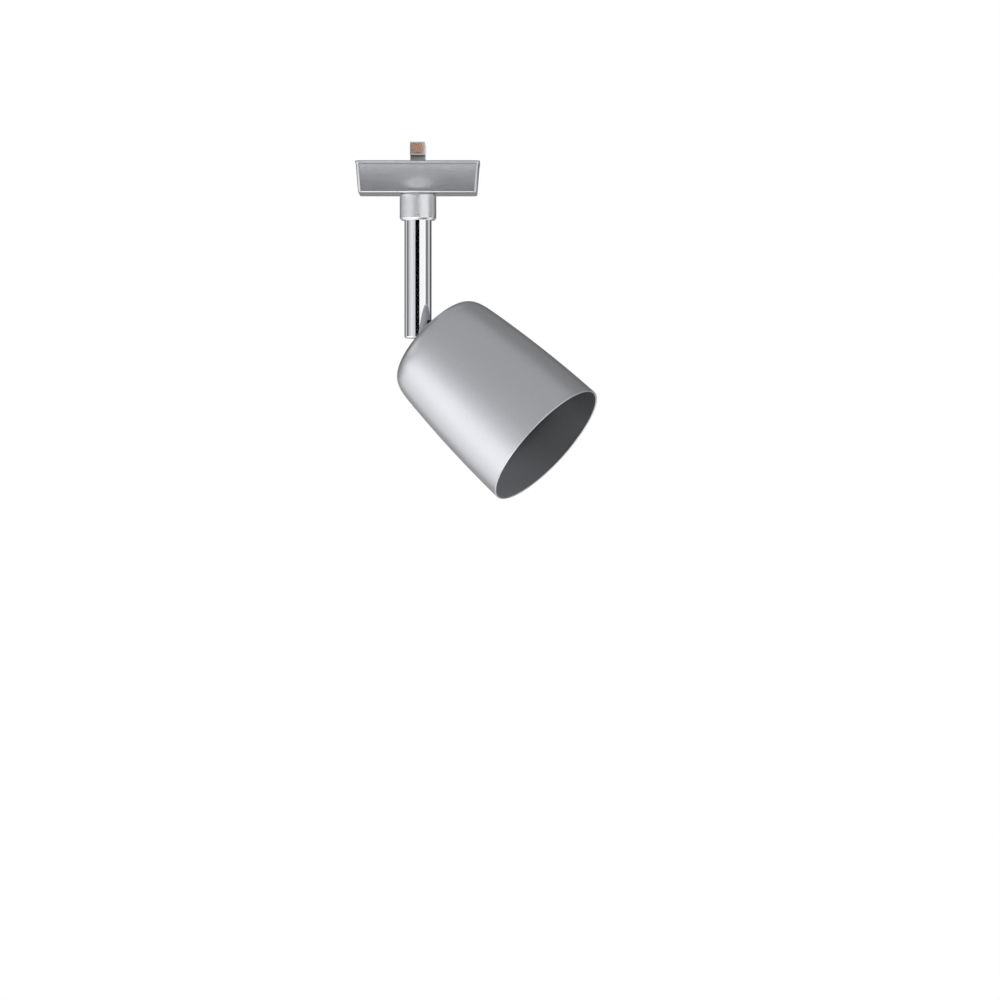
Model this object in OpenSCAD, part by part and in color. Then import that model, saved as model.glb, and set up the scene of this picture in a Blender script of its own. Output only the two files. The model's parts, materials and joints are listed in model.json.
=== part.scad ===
// Track spotlight: adapter with track foot, swivelling stem, tilting head and a GU10 lamp.
// Origin: the adapter's seat against the rail, on the stem's axis. +X runs along the rail, +Z is up.

/* [Adapter cover] */
// Length along the rail, at the rim
cover_l = 65; // [58:0.5:80]
// Width across the rail, at the rim
cover_w = 33; // [31:0.5:42]
// Height from the rail's underside to the bottom face
cover_h = 16.5; // [15.5:0.1:24]
// Wall thickness
cover_wall = 1.6; // [1.2:0.1:2]
// Thickness of the bottom
cover_floor = 2; // [1.5:0.1:3]
// Draft of the four sides, in degrees
cover_draft = 4.6; // [3:0.1:8]
// Rounding of the four upright corners
cover_corner_r = 2; // [1.5:0.1:2.6]
// Rounding of the lower edges
cover_edge_r = 1; // [0.6:0.1:1.4]

/* [Track foot] */
// Length of the T-head across the rail
foot_l = 24; // [20:0.5:27]
// Width of the T-head and of the neck that passes the rail's slot
foot_w = 8; // [7:0.1:10]
// Height of the neck, which clears the rail's lips
foot_neck_h = 3; // [2:0.1:4]
// Height of the T-head
foot_head_h = 7; // [6:0.1:9]
// Thickness of the base plate
plate_t = 2.2; // [2:0.1:3]
// Depth of the base plate's top below the rim
plate_sink = 0.4; // [0.3:0.1:1]
// Thickness of the copper strips
strip_t = 0.6; // [0.5:0.05:0.8]

/* [Swivel] */
// Outer diameter of the nipple's thread
nipple_d = 10; // [9.6:0.1:11]
// Height of the collar
collar_h = 13.5; // [13:0.1:18]
// Collar wall around the glide ring
collar_wall = 1.25; // [1:0.05:2]
// Wall of the glide ring around the stem
glide_wall = 1.1; // [0.9:0.05:1.6]
// Swivel from one side of the stop pin to the other, in degrees
swivel_total = 330; // [180:1:330]
// Direction of the head, in degrees from +X
head_azimuth = -22.35; // [-160:0.05:160]

/* [Stem] */
// Outer diameter of the tube
stem_d = 14.3; // [14.2:0.1:18]
// Wall of the tube
stem_wall = 1; // [0.7:0.05:1.1]
// Height of the tube that shows below the collar
stem_visible_l = 61.6; // [40:0.1:120]
// Height of the tilt axis above the tube's lower end
pivot_rise = 6.4; // [6.4:0.1:9]
// Diameter of the pivot pins
pivot_pin_d = 2.5; // [2:0.1:3.2]
// Diameter of the sleeved cable
cable_d = 3.5; // [3.3:0.1:4.2]
// Diameter of one core
core_d = 1.5; // [1.3:0.05:1.5]

/* [Head] */
// Tilt of the head from straight down, in degrees
head_tilt = 49.05; // [0:0.05:90]
// Gap between the tube's end and the knuckle's flange, where they pass
neck_gap = 0.416; // [0.35:0.001:8]
// Thickness of the knuckle's rear flange
flange_t = 2; // [1.6:0.1:2]
// Outer diameter of the shade at its mouth
shade_d = 74; // [70:0.5:100]
// Length of the shade
shade_l = 84.25; // [80:0.25:120]
// Wall of the shade
shade_wall = 1; // [0.8:0.05:1.4]
// Lean of the shade's side at the mouth, in degrees
shade_lean = 0.91; // [0:0.01:2]
// Radius of the side's lengthwise bow
shade_bow_r = 654; // [500:1:3000]
// Length of the rounded rear corner
corner_l = 16.3; // [12:0.1:20]
// Depth of the rounded rear corner
corner_drop = 9.73; // [7:0.01:10]
// Squareness of the rear corner, where 2 is an ellipse
corner_power = 3.64; // [2.2:0.01:4]

/* [Lampholder and lamp] */
// Thickness of the lamp bracket
bracket_t = 1.2; // [1:0.1:2]
// Height of the lampholder
holder_h = 15.5; // [15:0.1:20]
// Width of the lampholder
holder_w = 16; // [15.8:0.1:17]
// Distance between the two bayonet pins
pin_pitch = 10; // [10:0.1:10.5]
// Twist that locks the lamp, in degrees
lamp_twist = 18; // [12:1:25]
// Outer diameter of the lamp's front ring
lamp_d = 50; // [46:0.5:55]
// Length of the lamp without its pins
lamp_l = 45.4; // [43:0.1:50]

/* [Hidden] */
$fn = 72;

// Clearances
run_gap = 0.05;
seat_gap = 0.1;
loose_gap = 0.2;
thread_gap = 0.03;
cut = 0.5;

// Adapter cover, measured down from the rim
floor_z = -cover_h + cover_floor;
function drawn_in(depth) = depth * tan(cover_draft);
plate_top = -plate_sink;
plate_bottom = plate_top - plate_t;
plate_l = cover_l - 2 * (cover_wall + drawn_in(-plate_bottom) + loose_gap);
plate_w = cover_w - 2 * (cover_wall + drawn_in(-plate_bottom) + loose_gap);
plate_corner_r = 1.5;
plate_screw_d = 2.5;
plate_screw_l = 7.5;
screw_head_h = 1.4;
post_r = 2.6;
post_x = cover_l / 2 - cover_wall - drawn_in(cover_h) - post_r + 0.4;
rib_t = 1;
rib_h = 3;

// Track foot and contacts
foot_flange_w = 14;
foot_flange_t = 1.4;
foot_flange_z = plate_bottom - foot_flange_t;
strip_z = foot_flange_z - loose_gap;
strip_w = 3;
tail_w = 1.6;
strip_y = foot_w / 2 - 1.4;
pad_w = 5;
pad_z = foot_neck_h + 1.2;
pad_h = foot_head_h - 2;
pad_y = foot_l / 2 + loose_gap + strip_t;

// Terminal block, which stands on the cover's floor
pole_pitch = 6;
block_l = 11;
block_w = 18;
block_x = 11.5;
block_h = min(9, strip_z - strip_t - loose_gap - floor_z);
pole_z = floor_z + 4.7;
bore_r = 1.3;
clamp_inset = 1;
clamp_w = 4.4;
clamp_above = 2.2;
terminal_screw_d = 2.4;
terminal_screw_l = 2.3;
wire_screw_x = block_x + 3.5;
strip_screw_x = block_x + block_l - 3;
drop_x = block_x + block_l + 0.7;

// Swivel joint, from the cover's underside down
stem_r = stem_d / 2;
glide_r = stem_r + run_gap + glide_wall;
collar_bore_r = glide_r + run_gap;
collar_r = collar_bore_r + collar_wall;
nipple_r = nipple_d / 2;
nipple_bore_r = 3.6;
nipple_flange_t = 3.5;
nipple_flange_r = collar_bore_r - thread_gap;
flange_z = -cover_h - nipple_flange_t;
collar_top = -cover_h - loose_gap;
collar_bottom = collar_top - collar_h;
lip_t = 1.5;
lip_top = collar_bottom + lip_t;
chamfer = 0.5;
washer_t = 0.8;
nut_t = 3;
nut_af = 14;
nipple_top = floor_z + washer_t + nut_t + 1.1;
spring_t = 0.8;
bush_top = flange_z - spring_t - seat_gap;
bush_groove = 1.5;
bush_t = 3.5;
tube_top = bush_top - bush_t;
bush_r = collar_bore_r - loose_gap;
bush_bore_r = 2.6;
bush_skirt = 6.5;
stop_pin_d = 1.6;
stop_r = bush_r - stop_pin_d / 2 - 0.2;
stop_wall_r = stop_r - stop_pin_d / 2 - 0.1;
spring_r = stop_wall_r - 0.25;
stop_pin_up = 2;
stop_pin_half = asin(stop_pin_d / 2 / stop_r);
stop_slack = 0.5;
lug_half = (360 - swivel_total) / 2 - stop_pin_half - stop_slack;

// Stem and tilt joint
tube_bottom = collar_bottom - stem_visible_l;
tube_in_r = stem_r - stem_wall;
tube_end_r = stem_wall;
tube_end_reach = norm([stem_r - tube_end_r, pivot_rise - tube_end_r]) + tube_end_r;
pivot_z = tube_bottom + pivot_rise;
cable_r = cable_d / 2;
core_r = core_d / 2;
core_circle_r = cable_r - core_r - 0.05;
channel_r = cable_r + run_gap;
cheek_t = 0.9;
knuckle_half = channel_r + cheek_t;
arm_r = knuckle_half - 0.1;
pivot_pin_r = pivot_pin_d / 2;
knuckle_r = pivot_pin_r + 2.15;
friction_t = 0.4;
slot_half = knuckle_half + friction_t + 2 * run_gap;
arm_room = knuckle_half + loose_gap;
slot_top = pivot_z + arm_room;
insert_r = tube_in_r - thread_gap;
insert_top = pivot_z + knuckle_r + 8;
insert_bottom = tube_bottom + 0.3;
cable_split_z = flange_z - 0.4;
cable_top = nipple_top + 0.6;
cable_tip_gap = 0.1;

// Head, measured from the tilt axis towards the mouth
flange_near = tube_end_reach + neck_gap;
neck_l = flange_near + flange_t;
mouth_h = neck_l + shade_l;
flange_r = 13.6;
wire_hole_r = channel_r + 0.6;
shade_screw_y = 10.6;
m3_r = 1.5;
m3_head_r = 2.4;
m3_head_h = 1.8;
m3_hole_r = 1.6;
bracket_h = neck_l + shade_wall;
bracket_r = 17;
holder_base = bracket_h + bracket_t;
holder_front = holder_base + holder_h;
holder_r = 14.2;
holder_screw_x = 10.6;
holder_screw_head_r = 2.8;
earth_x = 9;
earth_y = -10.4;
tag_t = 0.6;
cable_end_h = holder_base - 0.5;
chamber_h = 4.4;
chamber_l = 13.6;
chamber_w = 7.2;

// Bayonet
lamp_gap = 0.3;
lamp_rear = holder_front + lamp_gap;
pin_r = pin_pitch / 2;
pin_l = 7;
pin_head_r = 2.5;
pin_head_h = 4.4;
pin_neck_r = 1.5;
bayonet_plate_t = 2;
pin_room = 0.2;
cavity_top = holder_front - bayonet_plate_t;
cavity_bottom = lamp_rear - pin_l - 0.7;
contact_t = 0.45;
tail_t = 0.6;

// Lamp
lamp_front = lamp_rear + lamp_l;
lamp_r = lamp_d / 2;
base_r = 11;
base_h = 10.4;
base_chamfer = 0.6;
pin_socket_l = 3;
housing_wall = 1.2;
housing_start = lamp_rear + 6.5;
housing_end = lamp_front - 8.5;
housing_r0 = base_r + seat_gap / 2 + housing_wall;
housing_r1 = lamp_r - 0.8;
board_t = 1.6;
board_seat = lamp_front - 11;
ring_rear = housing_end - 2;
ring_lip = 1;
ring_lip_r = lamp_r - 2.7;
lens_t = 2.3;
lens_rear = lamp_front - ring_lip - lens_t - 0.1;
chip_r = 4.5;
chip_t = 1;

// ---------- frames ----------

module on_stem() {
    rotate([0, 0, head_azimuth]) children();
}

module at_pivot() {
    on_stem() translate([0, 0, pivot_z]) children();
}

module on_head() {
    at_pivot() rotate([0, 180 - head_tilt, 0]) children();
}

// ---------- general shapes ----------

module ring(outer_r, inner_r, h) {
    difference() {
        cylinder(r = outer_r, h = h);
        translate([0, 0, -cut]) cylinder(r = inner_r, h = h + 2 * cut);
    }
}

// A box given by its low and high corners
module block(low, high) {
    translate(low) cube(high - low);
}

module rounded_plate(l, w, r, h) {
    linear_extrude(h) {
        square([l - 2 * r, w], center = true);
        square([l, w - 2 * r], center = true);
        for (sx = [-1, 1], sy = [-1, 1])
            translate([sx * (l / 2 - r), sy * (w / 2 - r)]) circle(r = r);
    }
}

// A pan-head screw, head up, with its seat at z = 0
module pan_screw(r, head_r, head_h, l) {
    slot_w = 0.25 * head_r;
    difference() {
        union() {
            translate([0, 0, -l]) cylinder(r = r, h = l);
            cylinder(r1 = head_r, r2 = 0.8 * head_r, h = head_h);
        }
        translate([-head_r, -slot_w / 2, 0.5 * head_h]) cube([2 * head_r, slot_w, head_h]);
    }
}

// A slice of a ring between two radii, from angle a0 to a1
module arc_band(r_in, r_out, a0, a1, h) {
    rotate([0, 0, a0]) rotate_extrude(angle = a1 - a0)
        translate([r_in, 0]) square([r_out - r_in, h]);
}

// ---------- round tubes along a smooth route ----------

function unit(v) = v / norm(v);

function spline_point(a, b, c, d, t) =
    0.5 * (2 * b + (c - a) * t + (2 * a - 5 * b + 4 * c - d) * t * t + (3 * b - a - 3 * c + d) * t * t * t);

function route(points, steps) = let (last = len(points) - 1) concat(
    [for (i = [0 : last - 1], k = [0 : steps - 1])
        spline_point(points[max(i - 1, 0)], points[i], points[i + 1], points[min(i + 2, last)], k / steps)],
    [points[last]]
);

function tangent(path, i) = unit(path[min(i + 1, len(path) - 1)] - path[max(i - 1, 0)]);

function turned_side(side, along) = unit(side - (side * along) * along);

function sides(path, i, side) = i >= len(path)
    ? []
    : let (s = turned_side(side, tangent(path, i))) concat([s], sides(path, i + 1, s));

function first_side(along) = cross(along, abs(along[0]) < 0.9 ? [1, 0, 0] : [0, 1, 0]);

tube_sides = 10;
tube_steps = 4;

module tube(points, r) {
    path = route(points, tube_steps);
    side = sides(path, 0, first_side(tangent(path, 0)));
    n = tube_sides;
    rings = len(path);
    vertices = [for (i = [0 : rings - 1], k = [0 : n - 1])
        let (other = cross(tangent(path, i), side[i]), a = 360 * k / n)
        path[i] + r * (cos(a) * side[i] + sin(a) * other)];
    faces = concat(
        [[for (k = [0 : n - 1]) k]],
        [for (i = [0 : rings - 2], k = [0 : n - 1])
            [i * n + k, (i + 1) * n + k, (i + 1) * n + (k + 1) % n, i * n + (k + 1) % n]],
        [[for (k = [n - 1 : -1 : 0]) (rings - 1) * n + k]]
    );
    polyhedron(vertices, faces);
}

// ---------- adapter ----------

module trapezium(top_half, top, low_half, low) {
    polygon([[-top_half, top], [-low_half, low], [low_half, low], [top_half, top]]);
}

module drafted_hollow() {
    low = floor_z;
    half_l = cover_l / 2 - cover_wall;
    half_w = cover_w / 2 - cover_wall;
    inset = drawn_in(-low);
    rise = drawn_in(cut);
    intersection() {
        translate([0, cover_w, 0]) rotate([90, 0, 0]) linear_extrude(2 * cover_w)
            trapezium(half_l + rise, cut, half_l - inset, low);
        translate([-cover_l, 0, 0]) rotate([90, 0, 90]) linear_extrude(2 * cover_l)
            trapezium(half_w + rise, cut, half_w - inset, low);
    }
}

module drafted_outside() {
    r = cover_edge_r;
    corner = cover_corner_r;
    rise = drawn_in(1);
    inset = drawn_in(cover_h - r) + r / cos(cover_draft) - r;
    hull() {
        for (sx = [-1, 1], sy = [-1, 1]) {
            translate([sx * (cover_l / 2 + rise - corner), sy * (cover_w / 2 + rise - corner), 1])
                cylinder(r = corner, h = 0.1, $fn = 32);
            translate([sx * (cover_l / 2 - inset - corner), sy * (cover_w / 2 - inset - corner), r - cover_h])
                rotate_extrude($fn = 32) translate([corner - r, 0]) circle(r = r, $fn = 32);
        }
    }
}

module adapter_cover() {
    color("silver") difference() {
        union() {
            difference() {
                drafted_outside();
                drafted_hollow();
                block([-cover_l, -cover_w, 0], [cover_l, cover_w, 2 * cut + 1]);
            }
            for (sx = [-1, 1])
                translate([sx * post_x, 0, floor_z - cut])
                    cylinder(r = post_r, h = plate_bottom - floor_z + cut);
            for (sy = [-1, 1])
                translate([block_x, sy * (block_w / 2 + rib_t / 2 + seat_gap) - rib_t / 2, floor_z - cut])
                    cube([block_l, rib_t, rib_h + cut]);
        }
        translate([0, 0, -cover_h - cut]) cylinder(r = nipple_r + run_gap, h = cover_floor + 2 * cut);
        for (sx = [-1, 1])
            translate([sx * post_x, 0, plate_bottom - plate_screw_l])
                cylinder(r = plate_screw_d / 2 + thread_gap, h = plate_screw_l + cut);
    }
}

module base_plate() {
    hole_w = foot_w + 2 * seat_gap;
    earth_l = drop_x + strip_t + seat_gap - earth_start_x + seat_gap;
    color("dimgray") difference() {
        translate([0, 0, plate_bottom]) rounded_plate(plate_l, plate_w, plate_corner_r, plate_t);
        block([-hole_w / 2, -hole_w / 2, plate_bottom - cut], [hole_w / 2, hole_w / 2, plate_top + cut]);
        for (sx = [-1, 1]) translate([sx * post_x, 0, 0]) {
            translate([0, 0, plate_bottom - cut])
                cylinder(r = plate_screw_d / 2 + seat_gap, h = plate_t + 2 * cut);
            translate([0, 0, plate_top - screw_head_h - seat_gap]) cylinder(r = plate_screw_d, h = plate_t);
        }
        translate([earth_start_x - seat_gap, -strip_w / 2 - seat_gap, plate_top - earth_pocket])
            cube([earth_l, strip_w + 2 * seat_gap, plate_t]);
        translate([drop_x - seat_gap, -tail_w / 2 - seat_gap, plate_bottom - cut])
            cube([strip_t + 2 * seat_gap, tail_w + 2 * seat_gap, plate_t + 2 * cut]);
    }
}

// The room that one contact strip takes inside the foot, with a gap all round
module strip_room() {
    g = seat_gap;
    half = strip_w / 2 + g;
    block([-half, -pad_y - cut, pad_z - g], [half, -strip_y + g, pad_z + strip_t + g]);
    block([-half, -strip_y - strip_t - g, foot_flange_z - cut], [half, -strip_y + g, pad_z + strip_t + g]);
}

module track_foot() {
    half = foot_w / 2;
    color("gainsboro") difference() {
        union() {
            block([-half, -half, plate_bottom - cut], [half, half, foot_neck_h + cut]);
            block([-half, -foot_l / 2, foot_neck_h], [half, foot_l / 2, foot_neck_h + foot_head_h]);
            translate([0, 0, foot_flange_z])
                rounded_plate(foot_flange_w, foot_flange_w, plate_corner_r, foot_flange_t);
        }
        strip_room();
        mirror([0, 1, 0]) strip_room();
    }
}

module contact_strip() {
    half = strip_w / 2;
    pole = -pole_pitch;
    low = strip_z - strip_t;
    block([-pad_w / 2, -pad_y, pad_z], [pad_w / 2, -pad_y + strip_t, pad_z + pad_h]);
    block([-half, -pad_y, pad_z], [half, -strip_y, pad_z + strip_t]);
    block([-half, -strip_y - strip_t, low], [half, -strip_y, pad_z + strip_t]);
    block([-half, pole - tail_w / 2, low], [half, -strip_y, strip_z]);
    block([-half, pole - tail_w / 2, low], [drop_x + strip_t, pole + tail_w / 2, strip_z]);
    strip_tail(pole, strip_z);
}

// The end of a strip: down beside the terminal block and into its pole
module strip_tail(y, top) {
    half = tail_w / 2;
    low = pole_z - strip_t / 2;
    block([drop_x, y - half, low], [drop_x + strip_t, y + half, top]);
    block([strip_screw_x - 1.2, y - half, low], [drop_x + strip_t, y + half, low + strip_t]);
}

module live_contact() {
    color("peru") contact_strip();
}

module neutral_contact() {
    color("peru") mirror([0, 1, 0]) contact_strip();
}

earth_start_x = 8;
earth_pocket = 1;
earth_strip_t = 0.4;

// The earth spring's arch rises from its pocket to the rail's underside
module earth_contact() {
    foot_z = plate_top - earth_pocket;
    span = drop_x + strip_t - earth_start_x;
    rise = -foot_z - earth_strip_t;
    n = 16;
    under = [for (i = [0 : n]) [earth_start_x + span * i / n, foot_z + rise * sin(180 * i / n)]];
    over = [for (i = [n : -1 : 0]) under[i] + [0, earth_strip_t]];
    color("peru") {
        translate([0, strip_w / 2, 0]) rotate([90, 0, 0]) linear_extrude(strip_w)
            polygon(concat(under, over));
        strip_tail(0, foot_z + earth_strip_t);
    }
}

module plate_screws() {
    color("silver") for (sx = [-1, 1])
        translate([sx * post_x, 0, plate_top - screw_head_h])
            pan_screw(plate_screw_d / 2, 0.92 * plate_screw_d, screw_head_h, plate_screw_l - 1);
}

module pole_positions() {
    for (i = [-1 : 1]) translate([0, i * pole_pitch, 0]) children();
}

module terminal_block() {
    top = floor_z + block_h;
    clamp_l = block_l - 2 * clamp_inset;
    g = seat_gap;
    color("white") difference() {
        block([block_x, -block_w / 2, floor_z], [block_x + block_l, block_w / 2, top]);
        pole_positions() {
            translate([block_x + clamp_inset - g, -clamp_w / 2 - g, pole_z - clamp_above - g])
                cube([clamp_l + 2 * g, clamp_w + 2 * g, 2 * clamp_above + 2 * g]);
            translate([block_x - cut, 0, pole_z]) rotate([0, 90, 0])
                cylinder(r = bore_r + loose_gap, h = block_l + 2 * cut);
            for (x = [wire_screw_x, strip_screw_x])
                translate([x, 0, pole_z]) cylinder(r = terminal_screw_d / 2 + loose_gap, h = block_h);
        }
    }
}

module terminal_clamps() {
    clamp_l = block_l - 2 * clamp_inset;
    color("goldenrod") pole_positions() difference() {
        translate([block_x + clamp_inset, -clamp_w / 2, pole_z - clamp_above])
            cube([clamp_l, clamp_w, 2 * clamp_above]);
        translate([block_x, 0, pole_z]) rotate([0, 90, 0]) cylinder(r = bore_r, h = block_l);
        for (x = [wire_screw_x, strip_screw_x])
            translate([x, 0, pole_z]) cylinder(r = terminal_screw_d / 2 + thread_gap, h = block_h);
    }
}

module terminal_screw(tip_z) {
    r = terminal_screw_d / 2;
    slot_w = 0.4;
    slot_h = 0.6;
    translate([0, 0, tip_z]) difference() {
        cylinder(r = r, h = terminal_screw_l);
        translate([-r, -slot_w / 2, terminal_screw_l - slot_h]) cube([2 * r, slot_w, slot_h + cut]);
    }
}

module terminal_screws() {
    color("silver") pole_positions() {
        translate([wire_screw_x, 0, 0]) terminal_screw(pole_z + core_r + run_gap);
        translate([strip_screw_x, 0, 0]) terminal_screw(pole_z + strip_t / 2 + run_gap);
    }
}

// ---------- swivel joint ----------

module swivel_nipple() {
    color("silver") difference() {
        union() {
            translate([0, 0, flange_z]) cylinder(r = nipple_flange_r, h = nipple_flange_t);
            translate([0, 0, -cover_h - cut]) cylinder(r = nipple_r, h = nipple_top + cover_h + cut);
        }
        translate([0, 0, flange_z - cut]) cylinder(r = nipple_bore_r, h = nipple_top - flange_z + 2 * cut);
        translate([-stop_r, 0, flange_z - cut])
            cylinder(r = stop_pin_d / 2 + thread_gap, h = stop_pin_up + cut);
    }
}

module lock_washer() {
    teeth = 8;
    color("gray") translate([0, 0, floor_z]) difference() {
        ring(nut_af / 2 + 0.8, nipple_r + seat_gap, washer_t);
        for (i = [0 : teeth - 1]) rotate([0, 0, i * 360 / teeth])
            translate([nut_af / 2 - 0.4, -0.5, -cut]) cube([2, 1, washer_t + 2 * cut]);
    }
}

module nipple_nut() {
    color("silver") translate([0, 0, floor_z + washer_t]) difference() {
        cylinder(r = nut_af / 2 / cos(30), h = nut_t, $fn = 6);
        translate([0, 0, -cut]) cylinder(r = nipple_r + thread_gap, h = nut_t + 2 * cut);
    }
}

module stop_pin() {
    pin_bottom = bush_top - bush_groove + loose_gap;
    color("gray") translate([-stop_r, 0, pin_bottom])
        cylinder(r = stop_pin_d / 2, h = flange_z + stop_pin_up - seat_gap - pin_bottom);
}

module spring_washer() {
    color("gray") translate([0, 0, flange_z - spring_t]) ring(spring_r, nipple_bore_r + 0.6, spring_t);
}

module swivel_collar() {
    top_r = collar_r - chamfer;
    color("lightgray") rotate_extrude() polygon([
        [collar_bore_r, collar_top],
        [top_r, collar_top],
        [collar_r, collar_top - chamfer],
        [collar_r, collar_bottom + 2 * chamfer],
        [collar_r - 2 * chamfer, collar_bottom],
        [stem_r + 2 * run_gap, collar_bottom],
        [stem_r + 2 * run_gap, lip_top],
        [collar_bore_r, lip_top]
    ]);
}

module glide_ring() {
    h = tube_top - run_gap - lip_top;
    color("whitesmoke") translate([0, 0, lip_top]) ring(glide_r, stem_r + run_gap, h);
}

module adapter_cable() {
    color("gray") translate([0, 0, cable_split_z]) cylinder(r = cable_r, h = cable_top - cable_split_z);
}

// From the cable's cut end, over the nut and down into a pole of the terminal block
module adapter_core(pole) {
    side = sign(pole);
    start_x = core_circle_r * (side == 0 ? 1 : -0.5);
    start_y = core_circle_r * sin(60) * side;
    up = cable_top + 2.4;
    tube([
        [start_x, start_y, cable_top + seat_gap],
        [start_x, start_y, cable_top + 0.7],
        [start_x, start_y, cable_top + 1.3],
        [2.2, 0.45 * pole, up],
        [5, 0.8 * pole, up - 0.3],
        [8.5, pole, 0.6 * up + 0.4 * pole_z - 0.6],
        [block_x - 0.4, pole, pole_z],
        [wire_screw_x + 1.2, pole, pole_z]
    ], core_r);
}

module adapter_live_core() {
    color("saddlebrown") adapter_core(-pole_pitch);
}

module adapter_neutral_core() {
    color("royalblue") adapter_core(pole_pitch);
}

module adapter_earth_core() {
    color("yellowgreen") adapter_core(0);
}

// ---------- stem ----------

module stem_tube() {
    arc_steps = 6;
    end = [for (i = [0 : arc_steps]) let (a = 90 * i / arc_steps)
        [stem_r - tube_end_r + tube_end_r * cos(a), tube_bottom + tube_end_r - tube_end_r * sin(a)]];
    color("gainsboro") on_stem() difference() {
        rotate_extrude() polygon(concat([[tube_in_r, tube_top], [stem_r, tube_top]], end,
            [[tube_in_r, tube_bottom]]));
        block([0, -arm_room, tube_bottom - cut], [2 * stem_r, arm_room, slot_top]);
    }
}

// The bush's top groove lets the stop pin pass, all but the lug that meets it
module stem_bush() {
    groove_floor = bush_top - bush_groove;
    color("goldenrod") on_stem() difference() {
        union() {
            translate([0, 0, tube_top]) cylinder(r = bush_r, h = groove_floor - tube_top);
            translate([0, 0, groove_floor - cut]) cylinder(r = stop_wall_r, h = bush_groove + cut);
            translate([0, 0, groove_floor])
                arc_band(stop_wall_r - cut, bush_r, -lug_half, lug_half, bush_groove);
            translate([0, 0, tube_top - bush_skirt])
                cylinder(r = tube_in_r - thread_gap, h = bush_skirt + cut);
        }
        translate([0, 0, tube_top - bush_skirt - cut])
            cylinder(r = bush_bore_r, h = bush_t + bush_skirt + 2 * cut);
    }
}

// The slot's back stops the arm when it hangs straight down, and its top stops it at the horizontal
module end_insert() {
    color("darkgray") on_stem() difference() {
        translate([0, 0, insert_bottom]) cylinder(r = insert_r, h = insert_top - insert_bottom);
        translate([0, 0, pivot_z]) cylinder(r = channel_r + seat_gap, h = insert_top - pivot_z + cut);
        block([-arm_room, -slot_half, insert_bottom - cut], [2 * stem_r, slot_half, slot_top]);
        translate([0, slot_half, pivot_z]) rotate([90, 0, 0])
            cylinder(r = knuckle_r + loose_gap, h = 2 * slot_half);
        translate([0, 2 * stem_r, pivot_z]) rotate([90, 0, 0])
            cylinder(r = pivot_pin_r + thread_gap, h = 4 * stem_r);
    }
}

module pivot_pins() {
    reach = sqrt(insert_r * insert_r - pivot_pin_r * pivot_pin_r) - run_gap;
    l = reach - channel_r;
    color("silver") at_pivot() for (s = [-1, 1])
        translate([0, s * (channel_r + l / 2), 0]) rotate([90, 0, 0])
            cylinder(r = pivot_pin_r, h = l, center = true);
}

module friction_washers() {
    outer_r = knuckle_r - 0.4;
    color("gray") at_pivot() for (s = [-1, 1])
        translate([0, s * (knuckle_half + run_gap + friction_t / 2), 0]) rotate([90, 0, 0])
            translate([0, 0, -friction_t / 2]) ring(outer_r, pivot_pin_r + run_gap, friction_t);
}

// The cable's rounded tip lies on the tilt axis, where the head's own stretch takes over at any tilt
module stem_cable() {
    color("gray") on_stem() {
        translate([0, 0, pivot_z]) cylinder(r = cable_r, h = cable_split_z - pivot_z);
        translate([0, 0, pivot_z]) sphere(r = cable_r);
    }
}

// ---------- head ----------

module tilt_knuckle() {
    rim = 0.65;
    open_h = cable_r + 0.2;
    slot_side = channel_r + 0.1;
    color("darkgray") on_head() difference() {
        union() {
            rotate([90, 0, 0]) cylinder(r = knuckle_r, h = 2 * knuckle_half, center = true);
            cylinder(r = arm_r, h = neck_l - cut);
            translate([0, 0, flange_near]) cylinder(r1 = flange_r - rim, r2 = flange_r, h = rim);
            translate([0, 0, flange_near + rim]) cylinder(r = flange_r, h = flange_t - rim);
        }
        block([-2 * knuckle_r, -slot_side, -2 * knuckle_r], [2 * knuckle_r, slot_side, open_h]);
        cylinder(r = channel_r, h = neck_l + cut);
        translate([0, 2 * knuckle_half, 0]) rotate([90, 0, 0])
            cylinder(r = pivot_pin_r + run_gap, h = 4 * knuckle_half);
        shade_screw_places(flange_near - cut) cylinder(r = m3_r + thread_gap, h = flange_t + 2 * cut);
    }
}

module shade_screw_places(h) {
    for (s = [-1, 1]) translate([0, s * shade_screw_y, h]) children();
}

side_steps = 8;
corner_steps = 16;
rim_steps = 4;

function corner_cut(s) =
    let (u = min(1, max(0, (s - shade_l + corner_l) / corner_l)))
    corner_drop * (1 - pow(1 - pow(u, corner_power), 1 / corner_power));

// Outer radius at a distance s from the mouth, before the rear face closes it
function shade_r(s) = shade_d / 2 - s * tan(shade_lean) - s * s / (2 * shade_bow_r) - corner_cut(s);

// The stations crowd towards the rear face, where the corner turns fastest
shade_stations = concat(
    [for (i = [1 : side_steps]) (shade_l - corner_l) * i / side_steps],
    [for (i = [1 : corner_steps]) shade_l - corner_l + corner_l * sin(90 * i / corner_steps)]
);

function along_head(s) = mouth_h - s;

module shade() {
    rim_r = shade_wall / 2;
    rim_mid = shade_d / 2 - rim_r;
    rim = [for (i = [0 : rim_steps]) let (a = 180 * i / rim_steps)
        [rim_mid - rim_r * cos(a), along_head(rim_r) + rim_r * sin(a)]];
    inner_l = shade_l - shade_wall;
    scale_in = inner_l / shade_l;
    outer = [for (s = shade_stations) [shade_r(s), along_head(s)]];
    inner = [for (i = [len(shade_stations) - 1 : -1 : 0]) let (s = shade_stations[i])
        [shade_r(s) - shade_wall, along_head(s * scale_in)]];
    color("silver") on_head() difference() {
        rotate_extrude() polygon(concat(rim, outer, [[0, neck_l], [0, neck_l + shade_wall]], inner));
        translate([0, 0, neck_l - cut]) cylinder(r = wire_hole_r, h = shade_wall + 2 * cut);
        shade_screw_places(neck_l - cut) cylinder(r = m3_hole_r, h = shade_wall + 2 * cut);
    }
}

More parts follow.
